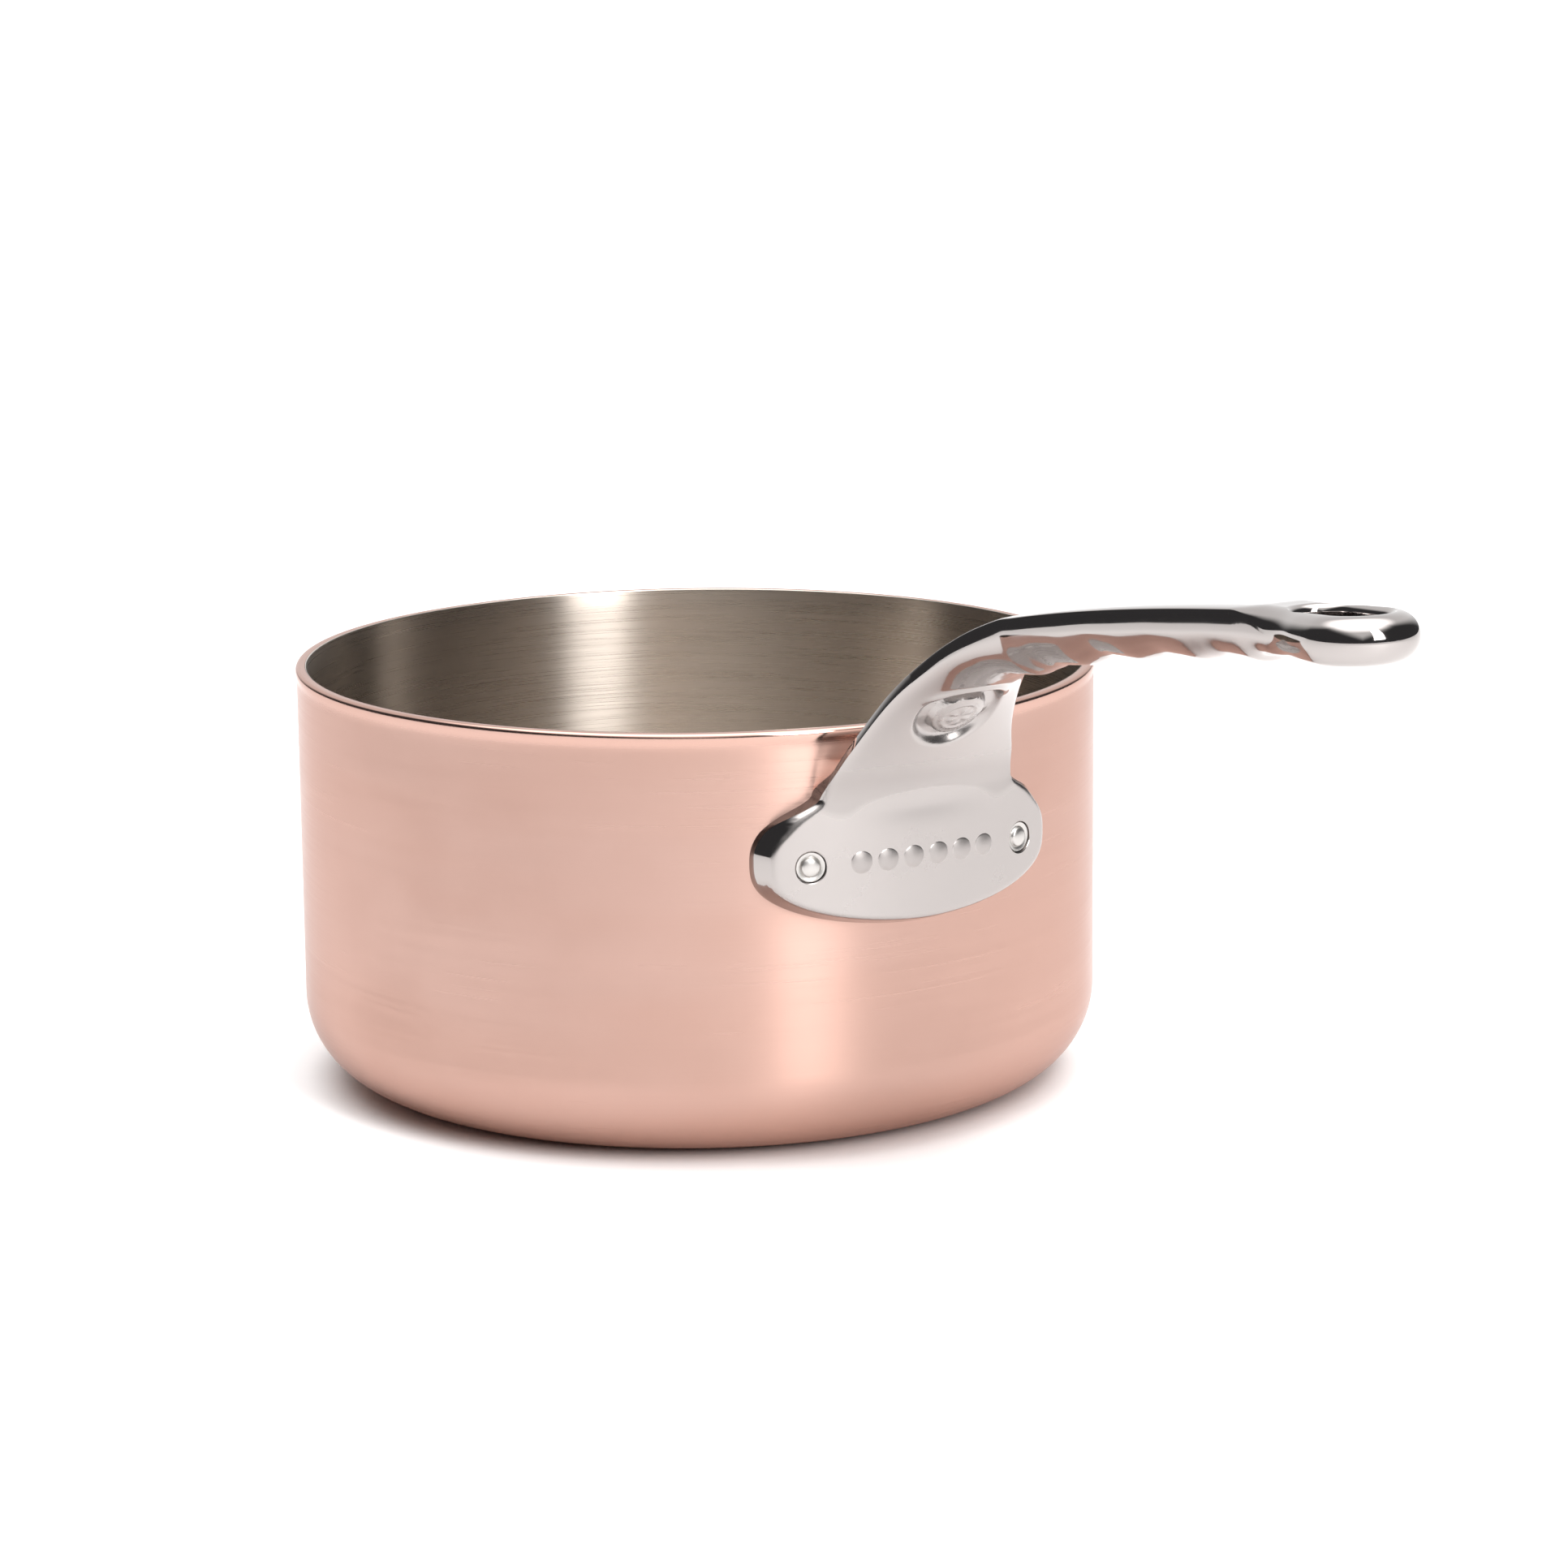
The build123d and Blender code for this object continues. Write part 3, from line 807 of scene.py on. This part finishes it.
class HandleRows:
    """The handle's centre line in rows, with a grid of points across them."""

    def __init__(self, flange_half):
        table = handle_stations()
        self.length = table_length(table)
        self.where = row_places(self.length)
        self.x, self.z, half_width, self.above, self.below = smooth_table(table, self.where).T
        ahead_x = np.gradient(self.x, self.where)
        ahead_z = np.gradient(self.z, self.where)
        size = np.hypot(ahead_x, ahead_z)
        # unit normal that points down and outward, away from the pan
        self.out_x, self.out_z = ahead_z / size, -ahead_x / size
        self.in_plate = self.where < PLATE_END
        self.side = self.side_line(half_width, flange_half)
        even = np.linspace(-1, 1, 101)
        # columns draw closer together toward both sides
        spread = np.sin(even * math.pi / 2) * 0.7 + even * 0.3
        self.y = col(self.side) * spread[None, :]
        self.share = np.abs(spread)[None, :] * np.ones_like(self.y)
        self.level = col(self.z) * np.ones_like(self.y)

    def side_line(self, half_width, flange_half):
        """Half width of each row: plate and neck run together, then the rounded tip."""
        plate = flange_half_width(self.z, flange_half) * self.in_plate
        neck = np.where(self.in_plate, smoothstep(FLANGE_SIDE - 5.5, FLANGE_SIDE + 10.5, self.z), 1.0)
        corner = smoothstep(FLANGE_SIDE + 2.5, FLANGE_SIDE + 10.5, self.z)
        soften = 3.0 * corner * (self.where < PLATE_END + 5.0) + 0.01
        side = soft_max(plate, half_width * neck, soften)
        tip = np.clip((self.x - HEAD_CENTRE[0]) / HEAD_TIP, 0, 1)
        return np.where(tip > 0, HEAD_HALF * np.sqrt(1 - tip ** 2), side)

    def edge_gap(self, rows, outline):
        """Distance of every grid point in some rows from the outline."""
        gap = np.full(self.y.shape, 99.0)
        station = np.broadcast_to(col(self.where), self.y.shape)
        points = np.column_stack([station[rows].ravel(), np.abs(self.y[rows]).ravel()])
        gap[rows] = outline_distance(points, outline).reshape(-1, self.y.shape[1])
        return gap

    def lean(self, amount):
        """Narrows the far face, so that the sides lean in."""
        return 1 - 0.75 * amount / np.maximum(col(self.side), 4.0)

    def plate_faces(self, thick, rounding):
        """Plate bent round the wall: steep side, small rounding, then its face; and its back."""
        y, level = self.y, self.level
        outline = np.column_stack([self.where, self.side])[self.where < PLATE_ROUNDING_END + 4.0]
        outline = np.vstack([[[self.where[0], 0.0]], outline])
        gap = self.edge_gap(self.where < PLATE_ROUNDING_END, outline)
        upright = smoothstep(FLANGE_SIDE + 5.5, FLANGE_SIDE + 10.5, level)
        draft = 1.1 - 0.9 * upright
        foot = 1.0 + (thick - rounding - 1.2) * upright
        height = foot + (thick - rounding - foot) * np.clip(gap / draft, 0, 1)
        height += rounding * quarter_round((gap - draft) / rounding)
        front = np.stack([np.sqrt((WALL_RADIUS + height) ** 2 - y ** 2), y, level], -1)
        back = np.stack([np.sqrt(WALL_RADIUS ** 2 - y ** 2), y * self.lean(upright), level], -1)
        return front, back

    def bar_faces(self):
        """Bar with a crowned top and a rounder underside; head with a fully rounded edge."""
        outline = np.column_stack([self.where, self.side])[self.where > HEAD_ROUNDING_START - 5.0]
        outline = np.vstack([outline, [[self.length, 0.0]]])
        gap = self.edge_gap(self.where > HEAD_ROUNDING_START, outline)
        full = HEAD_THICK / 2 * quarter_round(gap / 4.2)
        head = col(smoothstep(HEAD_CENTRE[0] - 25, HEAD_CENTRE[0] - 15, self.x))
        on_grip = col(smoothstep(WALL_RADIUS + 20.0, WALL_RADIUS + 45.0, self.x))
        above, below = col(self.above), col(self.below)
        high_edge = above * (0.7 + 0.15 * on_grip)
        low_edge = below * (0.2 - 0.17 * on_grip)
        rise = high_edge + (above - high_edge) * np.sqrt(np.clip(1 - self.share ** 4, 0, 1))
        depth = low_edge + (below - low_edge) * np.clip(1 - self.share ** 2, 0, 1) ** 0.6
        rise = rise * (1 - head) + full * head
        depth = depth * (1 - head) + full * head
        x, out_x, out_z = col(self.x), col(self.out_x), col(self.out_z)
        front = np.stack([x + out_x * depth, self.y, self.level + out_z * depth], -1)
        back = np.stack([x - out_x * rise, self.y * self.lean(1 - head),
                         self.level - out_z * rise], -1)
        return front, back


def handle_bar(settings):
    """Flange, neck, grip and head as one grid of rows: outer face and upper face."""
    rows = HandleRows(settings.flange_width / MM / 2)
    plate_front, plate_back = rows.plate_faces(settings.flange_thickness / MM, settings.edge_round / MM)
    bar_front, bar_back = rows.bar_faces()
    # the plate runs on higher at its shoulders than in the middle
    late = 5.0 * smoothstep(14.0, 25.0, np.abs(rows.y))
    mix = smootherstep(FLANGE_SIDE + 3.5 + late, FLANGE_SIDE + 19.0 + late * 0.4, rows.level)
    mix = np.where(col(rows.in_plate), mix, 1.0)[..., None]
    mix_back = smoothstep(FLANGE_SIDE + 12.5, FLANGE_SIDE + 18.0, rows.level)
    mix_back = np.where(col(rows.in_plate), mix_back, 1.0)[..., None]
    front = plate_front * (1 - mix) + bar_front * mix
    back = plate_back * (1 - mix_back) + bar_back * mix_back
    return front, back


def carve_medallion(front, settings):
    """Ring groove, deepest above and below, round a low plain medallion."""
    offset = front - MEDALLION
    flat = offset - (offset @ MEDALLION_OUT)[..., None] * MEDALLION_OUT
    far = np.linalg.norm(flat, axis=-1)
    up = flat @ MEDALLION_UP
    groove = smoothstep(MEDALLION_RADIUS, 6.1, far) * (1 - smoothstep(7.8, 9.5, far))
    groove *= 0.5 + 0.5 * smoothstep(0.5, 6.0, np.abs(up))
    dome = 0.5 * np.clip(1 - (far / MEDALLION_RADIUS) ** 2, 0, 1)
    border = 0.16 * (smoothstep(3.2, 3.5, far) * (1 - smoothstep(3.9, 4.2, far)))
    petals = 0.2 * np.clip(1 - ((far - 1.7) / 1.3) ** 2, 0, 1)
    petals = petals * (0.5 + 0.5 * np.cos(6 * np.arctan2(flat[..., 1], up)))
    brow = 0.5 * np.exp(-((far - 9.9) / 0.8) ** 2) * smoothstep(3.0, 7.0, up)
    lift = dome + border + petals + brow - groove * settings.groove / MM
    return front + lift[..., None] * MEDALLION_OUT


def close_rows(front, back):
    """Vertices and quads of a closed surface from matching front and back grids."""
    rows = front.shape[0]
    ring = np.concatenate([front, back[:, ::-1]], axis=1)
    around = ring.shape[1]
    faces = []
    for i in range(rows - 1):
        a, b = i * around, (i + 1) * around
        for j in range(around):
            k = (j + 1) % around
            faces.append((a + j, a + k, b + k, b + j))
    faces.append(tuple(range(around)))
    last = (rows - 1) * around
    faces.append(tuple(last + j for j in reversed(range(around))))
    return ring.reshape(-1, 3), faces


def eye_cutter():
    """Long eye with rounded lips, as a solid that is cut from the head."""
    along = np.array([math.cos(HEAD_TILT), 0, math.sin(HEAD_TILT)])
    normal = np.array([-math.sin(HEAD_TILT), 0, math.cos(HEAD_TILT)])
    middle = np.array([HEAD_CENTRE[0], 0, HEAD_CENTRE[1]]) - along * EYE_BACK
    half = HEAD_THICK / 2
    upper = []
    for turn in np.linspace(0, 1, 9) * math.pi / 2:
        upper.append((half - EYE_LIP + EYE_LIP * math.sin(turn), EYE_LIP * (1 - math.cos(turn))))
    upper.append((half + 4.0, EYE_LIP))
    profile = [(-z, flare) for z, flare in reversed(upper)] + upper
    turns = np.radians(np.concatenate([np.linspace(-90, 90, 33), np.linspace(90, 270, 33)]))
    ends = np.repeat([EYE_RUN / 2, -EYE_RUN / 2], 33)
    points = []
    for turn, end in zip(turns, ends):
        for z, flare in profile:
            reach = EYE_RADIUS + flare
            points.append(middle + along * (end + reach * math.cos(turn)) + normal * z
                          + np.array([0, reach * math.sin(turn), 0]))
    count, around = len(profile), len(turns)
    faces = []
    for i in range(around):
        a, b = i * count, (i + 1) % around * count
        faces += [(a + k, b + k, b + k + 1, a + k + 1) for k in range(count - 1)]
    faces.append(tuple(i * count for i in reversed(range(around))))
    faces.append(tuple(i * count + count - 1 for i in range(around)))
    cutter = new_object("eye_cutter", np.array(points) * MM, faces)
    make_outward(cutter)
    return cutter


def cut(obj, tool):
    """Takes one solid out of another and removes the tool."""
    modifier = obj.modifiers.new("cut", "BOOLEAN")
    modifier.operation = "DIFFERENCE"
    modifier.solver = "EXACT"
    modifier.object = tool
    settle(obj)
    bpy.data.objects.remove(tool)


def seat_profile(face):
    """Rivet hole and counterbore: (radius, height) points, heights out from the wall."""
    hole, seat, mouth = SHANK_RADIUS + 0.05, 3.1, 3.3
    start, end = -4.0, face + 3.0
    return [(0, start), (hole, start), (hole, SEAT_FLOOR), (seat, SEAT_FLOOR),
            (seat, face - 0.15), (mouth, face), (mouth, end), (0, end)]


class SAUCEPAN_OT_handle(bpy.types.Operator):
    """Cast handle: riveted plate, rising neck with a medallion, grip and hanging loop"""
    bl_idname = "saucepan.handle"
    bl_label = "Handle"

    def execute(self, context):
        s = context.scene.saucepan_handle
        face = round(s.flange_thickness / MM, 4)
        face_radius = (WALL_RADIUS + face) * MM
        front, back = handle_bar(s)
        vertices, faces = close_rows(carve_medallion(front, s), back)
        bar = new_object("cast_handle", vertices * MM, faces)
        make_outward(bar)
        cut(bar, eye_cutter())
        seats = turn_profile("rivet_seats", [(r * MM, z * MM) for r, z in seat_profile(face)], None, 64)
        cut(bar, set_rivets(seats, context.scene.saucepan_rivets, None))
        bar.data.shade_smooth()
        bar.data.set_sharp_from_angle(angle=math.radians(35))
        material = cast_material(s.polish, face_radius)
        dress(bar, material, "handle", "handle")
        beads = new_object("flange_ornament", [(0, 0, 0)], [])
        run_tree(beads, bead_tree(), {"Level": ORNAMENT_LEVEL * MM, "Material": material,
                                      "Face Radius": face_radius})
        make_outward(beads)
        dress(beads, material, "handle", "handle")
        return {"FINISHED"}


def row_on_wall(t, count, angle, radius, level, piece):
    """A copy of a piece at each angle round the pan, with its Z axis facing out."""
    line = t.node("GeometryNodeMeshLine", mode="OFFSET")
    t.link(count, line.inputs["Count"])
    forward, aside = t.math("COSINE", angle), t.math("SINE", angle)
    spot = t.xyz(t.times(forward, radius), t.times(aside, radius), level)
    face = t.node("FunctionNodeAlignRotationToVector", axis="Z")
    t.link(t.xyz(forward, aside, 0.0), face.inputs["Vector"])
    copies = t.node("GeometryNodeInstanceOnPoints")
    points = t.through("GeometryNodeSetPosition", line.outputs[0], Position=spot)
    t.link(points, copies.inputs["Points"])
    t.link(piece, copies.inputs["Instance"])
    t.link(face.outputs[0], copies.inputs["Rotation"])
    return copies.outputs[0]


@shared_group("Bead Row")
def bead_tree(name):
    """Geometry Nodes: a row of low raised beads on a plate bent round the pan."""
    made, t, inp, out = group_tree(name, "GeometryNodeTree", [
        ("Geometry", "NodeSocketGeometry", None),
        ("Face Radius", "NodeSocketFloat", 87 * MM),
        ("Level", "NodeSocketFloat", 61.2 * MM),
        ("Pitch", "NodeSocketFloat", 5.6 * MM),
        ("Beads", "NodeSocketInt", 6),
        ("Bead Diameter", "NodeSocketFloat", 4.4 * MM),
        ("Relief", "NodeSocketFloat", 0.45 * MM),
        ("Material", "NodeSocketMaterial", None),
    ], [("Geometry", "NodeSocketGeometry")])
    relief, face_radius = inp.outputs["Relief"], inp.outputs["Face Radius"]
    index = t.node("GeometryNodeInputIndex").outputs[0]
    middle = t.math("DIVIDE", t.minus(inp.outputs["Beads"], 1.0), 2.0)
    step = t.math("DIVIDE", inp.outputs["Pitch"], face_radius)
    angle = t.times(t.minus(index, middle), step)
    # the ball whose cap stands out of the face by the relief
    half = t.times(inp.outputs["Bead Diameter"], 0.5)
    squares = t.plus(t.times(half, half), t.times(relief, relief))
    ball = t.math("DIVIDE", squares, t.times(relief, 2.0))
    centre = t.minus(t.plus(face_radius, relief), ball)
    sphere = t.node("GeometryNodeMeshUVSphere")
    sphere.inputs["Segments"].default_value = 64
    sphere.inputs["Rings"].default_value = 96
    t.link(ball, sphere.inputs["Radius"])
    # keeps the cap and a short root, which is buried in the plate
    height = t.separate(t.node("GeometryNodeInputPosition").outputs[0])[2]
    floor = t.minus(t.minus(ball, relief), 0.4 * MM)
    bead = t.through("GeometryNodeSetPosition", sphere.outputs["Mesh"],
                     Selection=t.math("LESS_THAN", height, floor), Position=t.xyz(0.0, 0.0, floor))
    bead = t.through("GeometryNodeMergeByDistance", bead, Distance=WELD / 2)
    bead = t.through("GeometryNodeSetShadeSmooth", bead)
    row = row_on_wall(t, inp.outputs["Beads"], angle, centre, inp.outputs["Level"], bead)
    end_tree(t, inp, out, row)
    return made


# ------------------------------------------------------------------ rivets
# in millimetres, heights out from the wall's outer face
SHANK_RADIUS = 2.5
SEAT_FLOOR = 3.4


@shared_group("Rivet Row")
def rivet_tree(name):
    """Geometry Nodes: one turned rivet set at each point, facing out of the wall."""
    made, t, inp, out = group_tree(name, "GeometryNodeTree", [
        ("Rivet", "NodeSocketGeometry", None),
        ("Wall Radius", "NodeSocketFloat", 82 * MM),
        ("Level", "NodeSocketFloat", 61 * MM),
        ("Angle", "NodeSocketFloat", math.radians(16)),
        ("Count", "NodeSocketInt", 2),
        ("Material", "NodeSocketMaterial", None),
    ], [("Geometry", "NodeSocketGeometry")])
    index = t.node("GeometryNodeInputIndex").outputs[0]
    last = t.minus(inp.outputs["Count"], 1.0)
    share = t.minus(t.math("DIVIDE", t.times(index, 2.0), last), 1.0)
    angle = t.times(share, inp.outputs["Angle"])
    row = row_on_wall(t, inp.outputs["Count"], angle, inp.outputs["Wall Radius"],
                      inp.outputs["Level"], inp.outputs["Rivet"])
    end_tree(t, inp, out, row)
    return made


def set_rivets(obj, settings, material):
    """Sets copies of a turned piece at both rivet positions."""
    return run_tree(obj, rivet_tree(), {
        "Wall Radius": WALL_RADIUS * MM, "Level": settings.level,
        "Angle": settings.angle, "Count": 2, "Material": material})


def rivet_profile():
    """Domed head inside the pan, shank, and set head with a button: (radius, height) points."""
    crown, head_radius, bed = -4.39, 7.0, -1.7
    dome_edge = bed - 0.5
    points = [(0, crown)]
    for k in range(1, 15):
        turn = k / 15 * math.pi / 2
        rise = (dome_edge - crown) * (1 - math.cos(turn)) ** 0.9
        points.append((head_radius * math.sin(turn), crown + rise))
    points += [(head_radius, bed - 0.35), (head_radius, bed + 0.2)]
    points += [(SHANK_RADIUS, bed + 0.2), (SHANK_RADIUS, SEAT_FLOOR - 0.05)]
    points += [(3.0, SEAT_FLOOR), (3.05, 4.35), (2.85, 4.6), (2.35, 4.55), (2.1, 4.42)]
    button, foot, height = 1.9, 4.62, 0.62
    points.append((button, foot))
    for turn in np.radians(np.linspace(12, 90, 8)):
        points.append((button * math.cos(turn), foot + height * math.sin(turn)))
    return points


class SAUCEPAN_OT_rivets(bpy.types.Operator):
    """Two rivets with domed heads inside the pan and small set heads outside"""
    bl_idname = "saucepan.rivets"
    bl_label = "Rivets"

    def execute(self, context):
        s = context.scene.saucepan_rivets
        material = polished_material("satin_rivet_steel", s.steel, 0.34)[0]
        points = [(r * MM, z * MM) for r, z in rivet_profile()]
        rivet = turn_profile("rivet_pair", points, material, 48)
        set_rivets(rivet, s, material)
        dress(rivet, material, "rivets", "rivet_left", "rivet_right")
        return {"FINISHED"}


# ------------------------------------------------------------------ stage
class SAUCEPAN_OT_stage(bpy.types.Operator):
    """Pale worktop, soft lights and the camera"""
    bl_idname = "saucepan.stage"
    bl_label = "Stage"

    def execute(self, context):
        s = context.scene.saucepan_stage
        self.floor()
        self.room(context, s)
        self.strip(context, s)
        self.camera(context, s)
        context.scene.view_settings.view_transform = "Standard"
        return {"FINISHED"}

    def floor(self):
        """Wide pale worktop at the height of the base."""
        reach = 12.0
        corners = [(-reach, -reach, 0), (reach, -reach, 0), (reach, reach, 0), (-reach, reach, 0)]
        obj = new_object("worktop", corners, [(0, 1, 2, 3)], smooth=False)
        material, _, shader = start_material("pale_worktop")
        shader.inputs["Metallic"].default_value = 0.0
        shader.inputs["Base Color"].default_value = (0.93, 0.92, 0.92, 1)
        shader.inputs["Roughness"].default_value = 0.6
        obj.data.materials.append(material)

    def room(self, context, s):
        """Surroundings: dark low down in front, higher up at both sides, pale behind and above."""
        dark, pale, ceiling = (0.036, 0.036, 0.038, 1), (0.66, 0.66, 0.66, 1), (2.15, 2.15, 2.15, 1)
        world = bpy.data.worlds.new("studio")
        context.scene.world = world
        world.use_nodes = True
        t = Tree(world.node_tree)
        shade = world.node_tree.nodes["Background"]
        x, y, z = t.separate(t.node("ShaderNodeTexCoord").outputs["Generated"])
        toward = (math.cos(s.azimuth), -math.sin(s.azimuth))
        front = t.plus(t.times(x, toward[0]), t.times(y, toward[1]))
        beside = t.math("ABSOLUTE", t.plus(t.times(x, -toward[1]), t.times(y, toward[0])))
        behind = t.math("MAXIMUM", t.times(front, -1.0), 0.0)
        rise = t.plus(z, t.times(behind, 0.7))
        rise = t.minus(rise, t.times(beside, 0.75))
        above = t.blend(t.ramp(z, 0.7, 0.95), pale, ceiling)
        t.link(t.blend(t.ramp(rise, 0.12, 0.60), dark, above), shade.inputs["Color"])
        shade.inputs["Strength"].default_value = s.sky

    def strip(self, context, s):
        """Upright panel, 32 degrees anticlockwise from the camera, for the bright bands."""
        angle = math.radians(32) - s.azimuth
        distance, middle = 1.5, 1.3
        place = Vector((distance * math.cos(angle), distance * math.sin(angle), middle))
        lamp = bpy.data.lights.new("strip_panel", "AREA")
        lamp.shape = "RECTANGLE"
        lamp.size, lamp.size_y = 0.48, 1.8
        lamp.energy = s.strip_power
        obj = bpy.data.objects.new("strip_panel", lamp)
        context.scene.collection.objects.link(obj)
        obj.location = place
        obj.rotation_euler = (Vector((0, 0, middle)) - place).to_track_quat("-Z", "Y").to_euler()

    def camera(self, context, s):
        """Camera aimed past the pan's axis by yaw and pitch, then rolled."""
        ray = Vector((math.cos(s.azimuth), -math.sin(s.azimuth), 0))
        away, up = -ray, Vector((0, 0, 1))
        right = away.cross(up)
        level = away * math.cos(s.yaw) + right * math.sin(s.yaw)
        forward = level * math.cos(s.pitch) - up * math.sin(s.pitch)
        side = right * math.cos(s.yaw) - away * math.sin(s.yaw)
        top = side.cross(forward)
        side, top = (side * math.cos(s.roll) + top * math.sin(s.roll),
                     top * math.cos(s.roll) - side * math.sin(s.roll))
        turn = Matrix((side, top, -forward)).transposed().to_4x4()
        turn.translation = ray * s.distance + up * s.height
        data = bpy.data.cameras.new("camera")
        data.sensor_width = 36
        data.lens = s.lens
        data.clip_end = 60
        obj = bpy.data.objects.new("camera", data)
        bpy.context.scene.collection.objects.link(obj)
        obj.matrix_world = turn
        context.scene.camera = obj


# ------------------------------------------------------------------ add-on
OPERATORS = (SAUCEPAN_OT_body, SAUCEPAN_OT_lining, SAUCEPAN_OT_base, SAUCEPAN_OT_handle,
             SAUCEPAN_OT_rivets, SAUCEPAN_OT_stage)
SETTINGS = {"saucepan_pan": PanSettings, "saucepan_handle": HandleSettings,
            "saucepan_rivets": RivetSettings, "saucepan_stage": StageSettings}


class SAUCEPAN_PT_panel(bpy.types.Panel):
    """Lists the saucepan's pieces"""
    bl_idname = "SAUCEPAN_PT_panel"
    bl_label = "Saucepan"
    bl_space_type = "VIEW_3D"
    bl_region_type = "UI"
    bl_category = "Saucepan"

    def draw(self, context):
        for operator in OPERATORS:
            self.layout.operator(operator.bl_idname)
        for name, group in SETTINGS.items():
            box = self.layout.box()
            for key in group.__annotations__:
                box.prop(getattr(context.scene, name), key)


def register():
    for group in SETTINGS.values():
        bpy.utils.register_class(group)
    for name, group in SETTINGS.items():
        setattr(bpy.types.Scene, name, bpy.props.PointerProperty(type=group))
    for operator in OPERATORS:
        bpy.utils.register_class(operator)
    bpy.utils.register_class(SAUCEPAN_PT_panel)


def unregister():
    bpy.utils.unregister_class(SAUCEPAN_PT_panel)
    for operator in reversed(OPERATORS):
        bpy.utils.unregister_class(operator)
    for name in SETTINGS:
        delattr(bpy.types.Scene, name)
    for group in reversed(list(SETTINGS.values())):
        bpy.utils.unregister_class(group)


def main():
    register()
    bpy.ops.saucepan.body()
    bpy.ops.saucepan.lining()
    bpy.ops.saucepan.base()
    bpy.ops.saucepan.handle()
    bpy.ops.saucepan.rivets()
    bpy.ops.saucepan.stage()
    bpy.context.view_layer.update()


if __name__ == "__main__":
    main()
